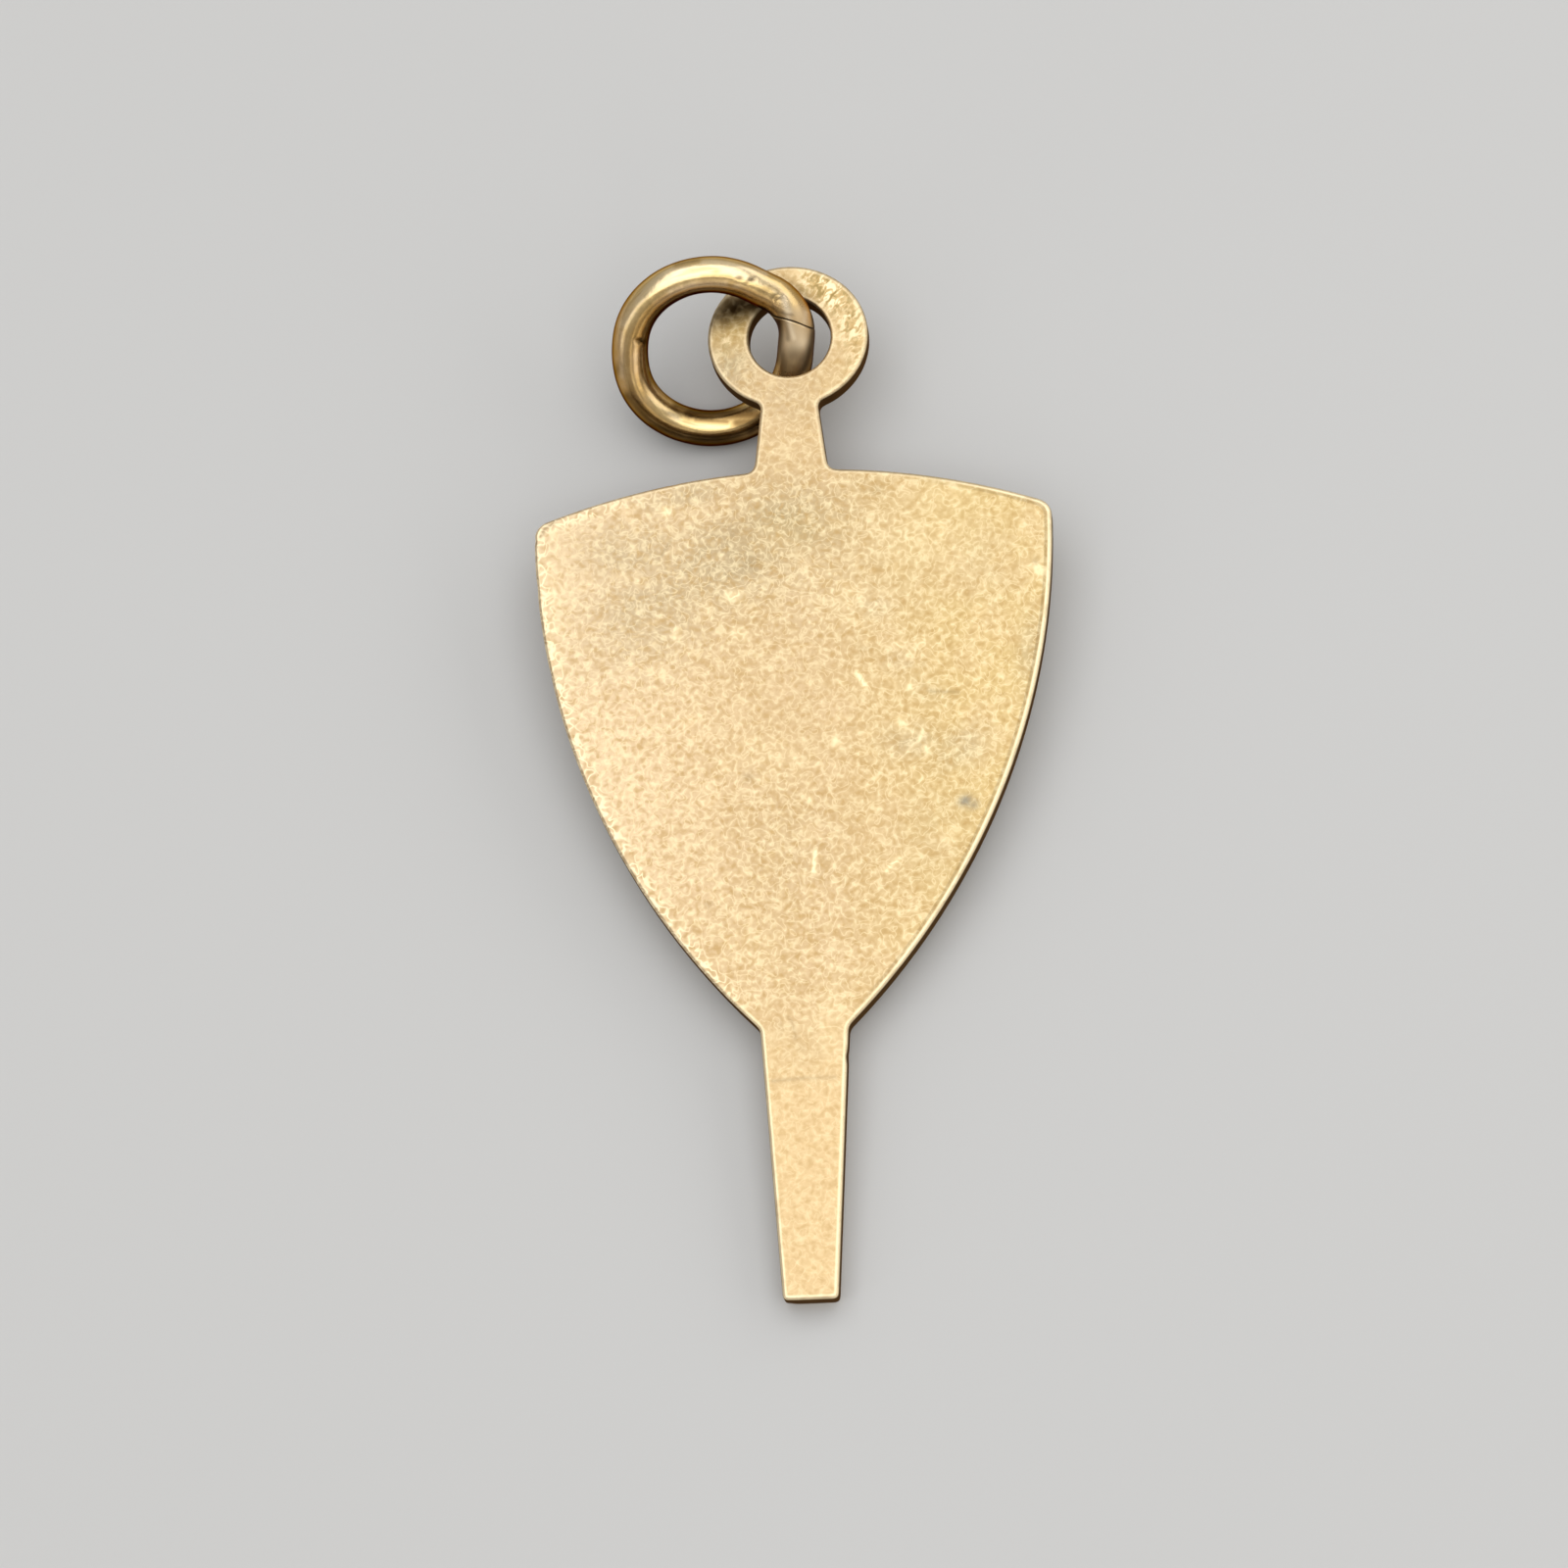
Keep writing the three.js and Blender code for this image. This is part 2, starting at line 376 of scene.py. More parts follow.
def spot(seen, x, y, across, down, turn=0):
    """A soft oval in the photograph: 1 at its middle, fading outwards."""
    cos, sin = math.cos(math.radians(turn)), math.sin(math.radians(turn))
    u = (seen[:, 0] - x) * cos + (seen[:, 1] - y) * sin
    v = (seen[:, 1] - y) * cos - (seen[:, 0] - x) * sin
    return np.exp(-(u / across) ** 2 - (v / down) ** 2)


def stroke(seen, x0, y0, x1, y1, width):
    """A soft straight line in the photograph."""
    start = np.array([x0, y0])
    way = np.array([x1 - x0, y1 - y0], float)
    share = np.clip((seen - start) @ way / (way @ way), 0, 1)
    gap = np.linalg.norm(seen - start - share[:, None] * way, axis=1)
    return np.exp(-(gap / width) ** 2)


def marks(seen, places):
    """Soft ovals and lines of given strengths: the strongest wins at each point."""
    total = np.zeros(len(seen))
    for strength, kind, *place in places:
        total = np.maximum(total, strength * kind(seen, *place))
    return total


def waves(points, depth, size, seed):
    """Smooth noise from minus to plus a depth, with features of a given size."""
    shift = Vector(SEED_SHIFT) * seed
    return depth * np.array([noise.noise(Vector(p) / size + shift) for p in points])


def between(rings, n):
    """The quads between closed rings of n points each, which follow each other."""
    return [
        (r * n + i, r * n + (i + 1) % n, (r + 1) * n + (i + 1) % n, (r + 1) * n + i)
        for r in range(rings - 1) for i in range(n)
    ]


def new_piece(name, vertices, faces, matrix):
    """A smooth-shaded mesh in the row frame, made of points in a piece's own millimetres."""
    mesh = bpy.data.meshes.new(name)
    mesh.from_pydata([tuple(v) for v in vertices], [], [tuple(f) for f in faces])
    bm = bmesh.new()
    bm.from_mesh(mesh)
    bmesh.ops.remove_doubles(bm, verts=bm.verts, dist=MESH_WELD)
    bmesh.ops.recalc_face_normals(bm, faces=bm.faces)
    bm.to_mesh(mesh)
    bm.free()
    mesh.transform(matrix)
    mesh.shade_smooth()
    piece = bpy.data.objects.new(name, mesh)
    bpy.context.scene.collection.objects.link(piece)
    return piece


def surface(mesh):
    """A mesh's points and normals, and where its points lie in the photograph."""
    rows = []
    for name in ("co", "normal"):
        values = np.zeros(len(mesh.vertices) * 3)
        mesh.vertices.foreach_get(name, values)
        rows.append(values.reshape(-1, 3))
    points, normals = rows
    return points, normals, pixels(points)


def move_vertices(mesh, points):
    mesh.vertices.foreach_set("co", points.ravel())
    mesh.update()


def paint(mesh, numbers):
    """Stores numbers for each vertex, which the material reads by their names."""
    for name, values in numbers.items():
        layer = mesh.attributes.new(name, "FLOAT", "POINT")
        layer.data.foreach_set("value", np.clip(values, 0, 1).astype(np.float32))


# Marks on the plate's back. Each is a strength, a kind and a place in the photograph:
# a spot's middle, its reach across and down and its turn, or a stroke's ends and its width.
# Stains and leaden smears are grey, gilt is deep yellow and specks are brown. Beside the ring the
# bow is black: tarnish, with the ring's shadow painted over it. Flecks are painted glints, and the
# wide faint ones painted lighter patches. Scuffs are scratched all over, grooves are fine lines,
# nicks are dents in the edge, and calm is where the mottle is weaker.
STAINS = (
    (0.3, spot, 800, 560, 170, 80, 0),
    (0.82, spot, 738, 572, 92, 50, -14),
    (0.68, spot, 662, 618, 84, 56, -32),
    (0.95, spot, 808, 532, 66, 38, 4),
    (0.68, spot, 650, 566, 66, 40, 0),
    (0.3, spot, 885, 497, 36, 14, 8),
    (0.22, spot, 1000, 575, 40, 46, 0),
    (0.7, spot, 707, 505, 36, 16, -6),
    (0.6, spot, 668, 513, 30, 14, -10),
    (0.4, spot, 646, 541, 30, 16, 0),
    (0.4, spot, 826, 506, 34, 14, 0),
    (0.45, spot, 800, 580, 40, 34, 0),
    (0.5, spot, 894, 617, 20, 14, 0),
    (0.3, spot, 917, 672, 18, 15, 0),
    (0.28, spot, 944, 704, 24, 13, 30),
    (0.6, spot, 980, 763, 32, 20, -35),
    (0.6, spot, 932, 757, 30, 18, 0),
    (0.55, spot, 1052, 664, 14, 40, 4),
    (0.2, spot, 958, 850, 50, 56, 0),
    (0.16, spot, 805, 860, 56, 50, 0),
    (0.3, spot, 800, 1049, 9, 11, -20),
    (0.2, spot, 820, 1070, 40, 26, 0),
    (1.0, spot, 740, 368, 30, 42, 20),
    (0.28, spot, 800, 405, 48, 26, 0),
)
# the ring's painted shadow on the bow, laid over real tarnish
RING_SHADOW_AND_TARNISH = (
    (1.0, spot, 749, 316, 26, 12, -32),
    (1.0, spot, 772, 307, 26, 12, -8),
    (0.3, spot, 732, 327, 9, 7, -50),
    (0.5, spot, 806, 296, 28, 9, 24),
)
GILT = (
    (0.9, spot, 752, 330, 36, 24, -30),
    (0.7, spot, 838, 292, 44, 20, 32),
    (0.4, spot, 868, 330, 20, 34, -10),
    (0.25, spot, 812, 540, 50, 26, 0),
    (0.35, spot, 878, 380, 16, 26, 12),
)
SCUFFS = (
    (1.0, spot, 846, 298, 34, 20, 38),
    (0.8, spot, 869, 328, 16, 30, -10),
    (0.45, spot, 874, 368, 12, 24, 6),
    (0.4, spot, 740, 352, 7, 12, 0),
)
# bright flecks are painted glints; the wide faint ones are painted lighter patches
FLECKS = (
    (1.0, spot, 749, 608, 8.5, 6),
    (0.6, spot, 754, 647, 8, 5),
    (0.5, spot, 690, 648, 5, 7),
    (0.8, spot, 680, 522, 6, 5),
    (1.0, stroke, 874, 686, 884, 701, 2.4),
    (0.9, spot, 928, 701, 4, 4),
    (0.9, spot, 922, 737, 4, 4),
    (1.0, stroke, 832, 869, 830, 889, 2.0),
    (0.9, stroke, 904, 888, 915, 878, 2.2),
    (1.0, spot, 915, 877, 3.6, 3),
    (0.6, stroke, 942, 744, 938, 757, 2.2),
    (0.6, stroke, 938, 757, 926, 767, 2.2),
    (0.8, spot, 945, 763, 5, 3.5),
    (0.7, spot, 852, 757, 3.5, 6),
    (0.8, spot, 917, 657, 4.5, 3.5),
    (0.8, spot, 941, 656, 5, 3),
    (0.6, spot, 927, 668, 3, 4),
    (0.6, spot, 859, 696, 4, 3),
    (0.8, spot, 827, 815, 3, 4),
    (0.8, spot, 1058, 580, 9, 6),
    (0.2, spot, 866, 616, 34, 20),
    (0.26, spot, 925, 550, 44, 26),
    (0.18, spot, 773, 967, 26, 22),
    (0.28, spot, 850, 1038, 14, 36),
    (0.16, spot, 924, 962, 24, 18),
    (0.16, spot, 840, 588, 24, 16),
    (0.16, spot, 960, 508, 40, 20),
    (0.1, spot, 806, 454, 26, 24),
    (0.16, spot, 790, 775, 40, 22),
    (0.24, spot, 563, 625, 14, 70),
)
GROOVES = (
    (0.9, stroke, 551, 548, 556, 539, 1.8),
    (0.9, stroke, 556, 539, 566, 533, 1.8),
    (0.6, stroke, 788, 1103, 820, 1100, 2.2),
    (0.45, stroke, 820, 1100, 852, 1099, 2.2),
    (0.4, stroke, 802, 1036, 808, 1042, 1.8),
    (0.4, stroke, 808, 1042, 812, 1058, 1.8),
    (0.6, stroke, 950, 705, 977, 706, 1.8),
    (0.4, stroke, 670, 575, 684, 552, 1.8),
)
SPECKS = (
    (0.8, spot, 1057, 573, 3, 3),
    (0.6, spot, 764, 793, 6, 6),
    (0.6, spot, 723, 923, 4, 3),
    (0.35, spot, 750, 543, 18, 12),
    (0.3, spot, 765, 575, 14, 10),
    (0.4, spot, 895, 500, 5, 4),
    (0.4, spot, 928, 677, 4, 3),
    (0.5, spot, 943, 677, 3.5, 2.5),
    (0.4, spot, 882, 661, 5, 3.5),
)
LEADEN = (
    (1.0, spot, 985, 817, 7, 5, -20),
    (0.6, spot, 993, 821, 7, 4.5, -20),
)
CALM = (
    (0.6, spot, 960, 550, 90, 60),
    (0.6, spot, 830, 720, 90, 70),
    (0.5, spot, 590, 560, 50, 60),
    (0.4, spot, 930, 850, 60, 70),
)
NICKS = (
    (1.0, spot, 549, 552, 4, 4),
    (0.7, spot, 690, 498, 4, 3),
    (0.8, spot, 864, 1078, 3, 6),
    (0.7, spot, 790, 1158, 3, 7),
    (0.5, spot, 550, 600, 3, 9),
    (0.5, spot, 560, 690, 3, 6),
    (0.8, spot, 806, 1334, 5, 5),
)


# Plate


class Plate:
    """The plate's sizes, read from its solid."""

    def __init__(self):
        self.matrix = plate_matrix()
        bm = solid("shield_plate", self.matrix)
        self.half = max(v.co.z for v in bm.verts)
        walls = [
            f for f in bm.faces
            if min(v.co.z for v in f.verts) < 0 < max(v.co.z for v in f.verts)
        ]
        outer, hole = rims(walls, lambda co: co.z > 0)
        self.outer = resample(turned(outer, True), OUTLINE_SPACING)
        self.hole = resample(turned(hole, False), OUTLINE_SPACING)
        floor = [
            f for f in bm.faces
            if f.normal.z < -LEVEL and f.calc_center_median().z > -self.half + EDGE_DROP
        ]
        self.field = resample(turned(rims(floor, lambda co: True)[0], True), OUTLINE_SPACING)
        self.field_depth = self.half + floor[0].calc_center_median().z
        rib = [v.co for v in bm.verts if v.co.z < -self.half - SAME_PLACE]
        self.rib_height = -self.half - min(co.z for co in rib)
        self.rib_low = min(co.y for co in rib)
        self.rib_high = max(co.y for co in rib)
        foot = [
            v.co.x for v in bm.verts
            if abs(v.co.z + self.half) < SAME_HEIGHT and abs(v.co.y - self.rib_high) < SAME_PLACE
        ]
        self.rib_half_width = max(abs(x) for x in foot)
        bm.free()
        self.near_edge = Nearness(self.outer, self.hole)
        self.near_field = Nearness(self.field)

    def face_height(self, inset):
        """Height of a face above the middle of the sheet at a distance in from its edge."""
        lean = 1 - np.minimum(inset, EDGE_INSET) / EDGE_INSET
        drop = EDGE_DROP * (1 - np.sqrt(1 - lean**2))
        return self.half - drop - CROWN_DROP * np.exp(-inset / CROWN_REACH)

    def relief(self, points):
        """How far the front stands out of its flat: below 0 in the field, above 0 on the rib."""
        into_field = self.near_field(points) * np.where(within(self.field, points), 1, -1)
        sunk = self.field_depth * smooth(*FIELD_WALL, into_field)
        chord, height = self.rib_half_width, self.rib_height
        bar = (chord**2 + height**2) / (2 * height)
        x, y = points[:, 0], points[:, 1]
        arch = np.sqrt(np.maximum(bar**2 - x**2, 0)) - (bar - height)
        ends = smooth(0, RIB_END_ROUND, y - self.rib_low)
        ends *= smooth(0, 3 * RIB_END_ROUND, self.rib_high - y)
        return np.maximum(arch, 0) * np.sqrt(ends) - sunk

    def inner_points(self):
        """Points for a face's mesh: bands along its edges and an even grid between them."""
        found = []
        for band in RIM_BANDS:
            for loop in (self.outer, self.hole):
                points = (loop + inward(loop) * band)[::2]
                found.append(points[self.near_edge(points) > band - BAND_SLACK])
        low, high = self.outer.min(0), self.outer.max(0)
        bow_foot = self.hole[:, 1].min() * 2
        for grid, bottom, top in (
            (SHIELD_GRID, low[1], bow_foot),
            (BOW_GRID, bow_foot, high[1]),
        ):
            xs = np.arange(low[0], high[0], grid)
            ys = np.arange(bottom, top, grid * math.sqrt(3) / 2)
            points = np.array([(x + grid / 2 * (j % 2), y) for j, y in enumerate(ys) for x in xs])
            points = points[within(self.outer, points) & ~within(self.hole, points)]
            found.append(points[self.near_edge(points) > RIM_BANDS[-1] + grid / 2])
        return np.concatenate(found)

    def line_points(self):
        """Extra points along the fine lines of the back."""
        found = []
        lines = [mark for mark in FLECKS + GROOVES if mark[1] is stroke]
        for _, _, x0, y0, x1, y1, width in lines:
            start = np.array([x0, y0])
            way = np.array([x1 - x0, y1 - y0], float)
            length = np.linalg.norm(way)
            side = np.array([-way[1], way[0]]) / length
            for step in np.arange(0, length + 1, LINE_STEP):
                for row in LINE_ROWS:
                    found.append(start + way * step / length + side * width * row)
        return self.under(np.array(found))

    def under(self, seen):
        """Points of the back face that lie under points of the photograph."""
        rays = (
            np.outer((seen[:, 0] - PHOTO_SIDE / 2) / FOCAL, RIGHT)
            - np.outer((seen[:, 1] - PHOTO_SIDE / 2) / FOCAL, UP) - BACK
        )
        out = np.array(self.matrix.to_3x3().col[2].normalized())
        level = np.array(self.matrix @ Vector((0, 0, self.half))) / MM
        reach = ((level - EYE) @ out) / (rays @ out)
        places = (EYE + rays * reach[:, None]) * MM
        inverse = self.matrix.inverted()
        return np.array([(inverse @ Vector(p)).xy for p in places])

    def front_points(self):
        """Extra points for the front: bands along the field's wall and rows along the rib."""
        bands = [self.field + inward(self.field) * band for band in FIELD_BANDS]
        xs = np.linspace(-1, 1, RIB_STATIONS) * self.rib_half_width
        ys = np.arange(self.rib_low, self.rib_high + RIB_GRID, RIB_GRID)
        return np.concatenate(bands + [np.array([(x, y) for y in ys for x in xs])])


def cap(plate, inner, heights, edge_height):
    """One face of the plate, as points and triangles between its two rounded edges."""
    rings = [loop + inward(loop) * EDGE_INSET for loop in (plate.outer, plate.hole)]
    points = np.concatenate(rings + [inner])
    z = np.concatenate([np.full(sum(map(len, rings)), edge_height), heights])
    edges, start = [], 0
    for ring in rings:
        n = len(ring)
        edges += [(start + i, start + (i + 1) % n) for i in range(n)]
        start += n
    outline = list(range(len(rings[0])))
    flat, _, faces, source, _, _ = delaunay_2d_cdt(
        [Vector(p) for p in points], edges, [outline], CDT_INSIDE, CDT_TOLERANCE,
    )
    vertices = np.array([(*p, z[source[i][0]]) for i, p in enumerate(flat)])
    triangles = np.array(faces)
    middles = vertices[triangles, :2].mean(axis=1)
    return vertices, triangles[~within(rings[1], middles)]


def edge_band(plate, loop):
    """The wall along one loop, with the rounds above and below it."""
    lean = np.sin(np.linspace(0, math.pi / 2, EDGE_STEPS + 1))
    insets = EDGE_INSET * (1 - np.sqrt(1 - lean[::-1] ** 2))
    heights = plate.face_height(insets)
    walls = np.linspace(heights[-1], -heights[-1], WALL_STEPS + 1)[1:-1]
    above = list(zip(insets, heights))
    below = [(inset, -z) for inset, z in above[::-1]]
    section = above + [(0, z) for z in walls] + below
    normals = inward(loop)
    n = len(loop)
    vertices = np.concatenate([
        np.column_stack((loop + normals * inset, np.full(n, z))) for inset, z in section
    ])
    return vertices, between(len(section), n)


def join(*parts):
    """Several sets of points and faces as one."""
    vertices, faces, start = [], [], 0
    for points, polygons in parts:
        vertices.append(points)
        faces += [tuple(int(i) + start for i in polygon) for polygon in polygons]
        start += len(points)
    return np.concatenate(vertices), faces


def make_plate():
    plate = Plate()
    inner = plate.inner_points()
    edge_height = plate.face_height(EDGE_INSET)
    clear = EDGE_INSET + EDGE_CLEARANCE

    # the plain back, with finer points along its lines
    lines = plate.line_points()
    lines = lines[within(plate.outer, lines) & (plate.near_edge(lines) > clear)]
    high = np.concatenate([inner[Nearness(lines)(inner) > LINE_CLEARANCE], lines])
    back = cap(plate, high, plate.face_height(plate.near_edge(high)), edge_height)

    # the front, with its field and rib
    around = inner[plate.near_field(inner) > FIELD_CLEARANCE]
    beside = np.abs(around[:, 0]) > plate.rib_half_width + RIB_CLEARANCE
    beyond = around[:, 1] > plate.rib_high + RIB_CLEARANCE
    low = np.concatenate([around[beside | beyond], plate.front_points()])
    low = low[plate.near_edge(low) > clear]
    front = cap(
        plate, low, -plate.face_height(plate.near_edge(low)) - plate.relief(low), -edge_height,
    )

    vertices, faces = join(
        back, front, edge_band(plate, plate.outer), edge_band(plate, plate.hole),
    )
    piece = new_piece("struck_plate", vertices, faces, plate.matrix)
    finish_plate(piece.data, plate)
    return piece


def finish_plate(mesh, plate):
    """Small unevenness and marks in the mesh, and the numbers that the material reads."""
    points, normals, seen = surface(mesh)
    turn = plate.matrix.to_3x3().normalized()
    up = np.array(turn.col[2])
    own = np.array([plate.matrix.inverted() @ Vector(p) for p in points])
    edge = plate.near_edge(own)
    back = (own[:, 2] > plate.half / 2) & (normals @ up > FACING)
    scuff = back * marks(seen, SCUFFS)
    groove = back * marks(seen, GROOVES)
    nick = marks(seen, NICKS) * (1 - smooth(*NICK_FADE, edge))

    local = points / MM
    rise = waves(local, *SHEET_BEND)
    rise += back * (waves(local, *STRUCK_BROAD) + waves(local, *STRUCK_FINE))
    rise += scuff * waves(own @ SCRATCH_AXES, *SCUFF_WAVES)
    rise -= GROOVE_DEPTH * groove
    from_centre = np.linalg.norm(own[:, :2], axis=1)
    hole_radius = np.linalg.norm(plate.hole, axis=1).mean()
    by_hole = 1 - smooth(0, HOLE_SHIFT_REACH, from_centre - hole_radius)
    sideways = np.outer(by_hole, turn @ Vector(HOLE_SHIFT))
    sideways -= (normals - np.outer(normals @ up, up)) * (nick * NICK_DEPTH)[:, None]
    move_vertices(mesh, points + (np.outer(rise, up) + sideways) * MM)

    wear_and_light = plate_wear_and_light(plate, own, edge, np.abs(normals @ up))
    paint(mesh, wear_and_light | {
        "calm": np.maximum(wear_and_light["calm"], marks(seen, CALM)),
        "tarnish_and_shadow": np.maximum(wear_and_light["tarnish_and_shadow"], back * marks(seen, RING_SHADOW_AND_TARNISH)),
        "stain": back * marks(seen, STAINS),
        "gilt": back * marks(seen, GILT),
        "leaden": back * marks(seen, LEADEN),
        "bright": back * marks(seen, FLECKS),
        "grime": np.maximum(groove, back * marks(seen, SPECKS)),
        "scuff": scuff,
    })


def plate_wear_and_light(plate, own, edge, tilt):
    """How worn or dull each point is from its place on the plate alone, and its painted light and shade."""
    x, y, z = own.T
    shield = smooth(*SHIELD_TOP, y) * smooth(*SHIELD_FOOT, y)
    right = smooth(*SIDE_BEGINS, x) * shield
    left = smooth(*SIDE_BEGINS, -x) * shield
    below = 1 - smooth(*SHIELD_FOOT, y)
    stem = smooth(*STEM_TOP, y)
    steep, level = (a + (b - a) * left for a, b in zip(WALL_TILT, WALL_TILT_LEFT))
    field = (z < 0) & (edge > EDGE_CLEARANCE) & within(plate.field, own)
    sunk = field * (1 - FIELD_RUBBED * smooth(*FIELD_FADE, plate.near_field(own)))
    return {
        "edge": edge,
        # a painted highlight along the rim, partly wear, strongest on the right
        "rim": RIM_WEAR_AND_HIGHLIGHT + RIM_WEAR_AND_HIGHLIGHT_RIGHT * right + RIM_WEAR_AND_HIGHLIGHT_LEFT * left + RIM_WEAR_AND_HIGHLIGHT_STEM * below,
        # a painted dark reflection inside the rim on the right
        "inner_line": right,
        # a speckled painted highlight along the left edge, partly wear
        "speckled": left * (1 - smooth(*SPECKLED_FADE, edge)),
        # painted shade on the side walls
        "wall": 1 - smooth(steep, level, tilt),
        # the stem: calmer, and painted paler as a highlight
        "stem": stem,
        "calm": np.maximum(stem, NECK_CALM * smooth(*NECK_FOOT, y)),
        "tarnish_and_shadow": FIELD_TARNISH * sunk,
    }


# Marks on the ring, written like those on the plate. Pits are sunk and brown, shades are painted
# shade and dark reflections with the dark line along the joint, dulled wire is rough, and glints
# are painted highlights.
PITS = (
    (1.0, stroke, 650, 348, 657, 349, 2.5),
    (1.0, spot, 755, 283.5, 3.6, 2.4),
    (1.0, spot, 768, 285.5, 4.2, 2.2, -10),
    (0.6, spot, 763, 288.5, 2, 1.6),
    (1.0, spot, 792, 304, 4.5, 2.5, 25),
)
SHADES = (
    (0.95, stroke, 795, 328, 790, 366, 5.5),
    (0.85, stroke, 832, 338, 823, 378, 5),
    (0.45, stroke, 803, 330, 804, 346, 3),
    (0.55, spot, 812, 363, 18, 9),
    (0.6, stroke, 788, 313, 795, 319, 2),
    (0.6, stroke, 795, 319, 808, 321, 1.8),
    (0.75, stroke, 641, 404, 664, 432, 6),
    (0.85, stroke, 664, 434, 700, 450, 7),
    (0.95, stroke, 700, 451, 776, 452, 8),
    (0.7, stroke, 766, 442, 776, 428, 6),
    (0.6, stroke, 690, 414, 712, 420, 5),
    (0.85, stroke, 704, 420, 776, 423, 8),
    (0.7, stroke, 752, 431, 776, 429, 6),
    (0.6, stroke, 710, 428, 742, 430, 3),
    (0.5, spot, 631, 377, 4, 8),
    (0.2, stroke, 718, 284, 744, 283, 3.5),
    (0.14, spot, 731, 277, 5, 3),
    (0.3, stroke, 690, 270, 712, 266, 3),
    (0.3, spot, 780, 297, 6, 4),
)
DULLED = (
    (1.0, spot, 812, 348, 28, 27),
    (0.6, spot, 814, 321, 18, 9),
)
GLINTS = (
    (1.0, stroke, 804, 324, 810, 345, 2.6),
    (0.45, spot, 819, 349, 6, 6),
    (0.4, stroke, 823, 318, 820, 332, 1.8),
    (1.0, stroke, 800, 303, 804, 317, 4),
    (0.2, stroke, 648, 350, 649, 378, 2.6),
    (0.2, stroke, 654, 384, 666, 404, 3.2),
    (0.3, stroke, 634, 338, 635, 384, 3.2),
    (0.4, stroke, 640, 322, 652, 306, 5),
    (0.35, stroke, 684, 297, 706, 291, 4),
    (0.35, stroke, 706, 291, 740, 290, 4),
    (0.25, stroke, 664, 406, 690, 429, 4),
    (0.5, stroke, 636, 331, 645, 318, 5),
    (0.35, spot, 664, 376, 3, 2.5),
    (0.5, stroke, 757, 273, 781, 279, 3.2),
    (0.35, spot, 710, 292, 5, 3),
    (0.3, spot, 752, 292, 6, 3),
    (0.3, stroke, 690, 277, 700, 275, 4),
    (0.3, stroke, 745, 276, 760, 279, 4),
)

# The facet beside the joint: its middle in the photograph, and how its face leans
FACET_AT = (801, 311)
FACET_LEAN = np.array([-0.04, 0.08, 0.08])
FACET_REACH = 0.34
FACET_DEPTH = 0.018


# Jump ring


def ring_run():
    """The wire's centre line, its outward normals and the length up to each of its points.

    It runs on past both ends, for the slanted cuts.
    """
    first, last = BEND_HEADING - BEND_HALF_ANGLE, BEND_HEADING + BEND_HALF_ANGLE
    reach = (RING_RADIUS - BEND_RADIUS) / math.cos(BEND_HALF_ANGLE)
    bend = reach * np.array([math.cos(BEND_HEADING), math.sin(BEND_HEADING)])
    over, gap = CUT_OVERRUN / BEND_RADIUS, JOINT_GAP / BEND_RADIUS
    points, normals = [], []
    for centre, radius, low, high in (
        (bend, BEND_RADIUS, JOINT_HEADING - over, last),
        (np.zeros(2), RING_RADIUS, last, first + 2 * math.pi),
        (bend, BEND_RADIUS, first, JOINT_HEADING - gap + over),
    ):
        count = 2 * math.ceil(radius * (high - low) / WIRE_SPACING)
        angles = np.linspace(low, high, count)
        out = np.column_stack((np.cos(angles), np.sin(angles)))
        flat = FLAT_DEPTH * np.exp(-((angles - FLAT_HEADING) / FLAT_REACH) ** 2)
        points.append(centre + (radius - flat)[:, None] * out)
        normals.append(out)
    points, normals = np.concatenate(points), np.concatenate(normals)
    steps = np.linalg.norm(np.diff(points, axis=0), axis=1)
    return points, normals, np.concatenate([[0], np.cumsum(steps)]) - CUT_OVERRUN


def make_ring():
    matrix = ring_matrix()
    centre, outward, run = ring_run()
    total = run[-1] - CUT_OVERRUN
    ends = [
        (END_CHAMFER * (1 - math.cos(t)), WIRE_RADIUS - END_CHAMFER * (1 - math.sin(t)))
        for t in np.linspace(0, math.pi / 2, END_CHAMFER_STEPS + 1)
    ]
    between_ends = [
        (station, WIRE_RADIUS)
        for station in np.linspace(0, total, round(total / WIRE_SPACING))
        if END_CLEARANCE < station < total - END_CLEARANCE
    ]
    other_ends = [(total - station, radius) for station, radius in ends[::-1]]
    stations = ends + between_ends + other_ends

    around = np.linspace(0, 2 * math.pi, WIRE_SIDES, endpoint=False)
    rings, runs = [], []
    # the slant of both cuts, and the pinch at the first, fade out along the wire
    for station, radius in stations:
        side = radius * np.cos(around)
        near = 1 - smooth(0, CUT_REACH, min(station, total - station))
        places = station - near * CUT_SLANT * side
        if station < total / 2:
            places -= near * CUT_PINCH * (1 + side / WIRE_RADIUS) / 2
        middles, ways = (
            np.column_stack([np.interp(places, run, row[:, k]) for k in range(2)])
            for row in (centre, outward)
        )
        flat = middles + side[:, None] * unit(ways)
        rings.append(np.column_stack((flat, radius * np.sin(around))))
        runs.append(places)
    faces = between(len(rings), WIRE_SIDES)
    last = (len(rings) - 1) * WIRE_SIDES
    faces += [tuple(range(WIRE_SIDES))[::-1], tuple(range(last, last + WIRE_SIDES))]
    piece = new_piece("bent_ring", np.concatenate(rings), faces, matrix)
    finish_ring(piece.data)
    paint(piece.data, {
        "run": np.concatenate(runs) / total,
        "turn": np.tile(around / (2 * math.pi), len(rings)),
    })
    return piece


def cut_facet(points, normals, seen):
    """Flattens the wire where the cutters pinched it, just above the joint."""
    facing = normals @ BACK > FACING_FACET
    near = np.where(facing, np.linalg.norm(seen - FACET_AT, axis=1), np.inf)
    middle = points[near.argmin()]
    out = unit(normals[near.argmin()] + FACET_LEAN)
    height = (points - middle) @ out + FACET_DEPTH * MM
    close = facing & (np.linalg.norm(points - middle, axis=1) < FACET_REACH * MM)
    return points - np.outer(np.where(close, np.maximum(height, 0), 0), out)


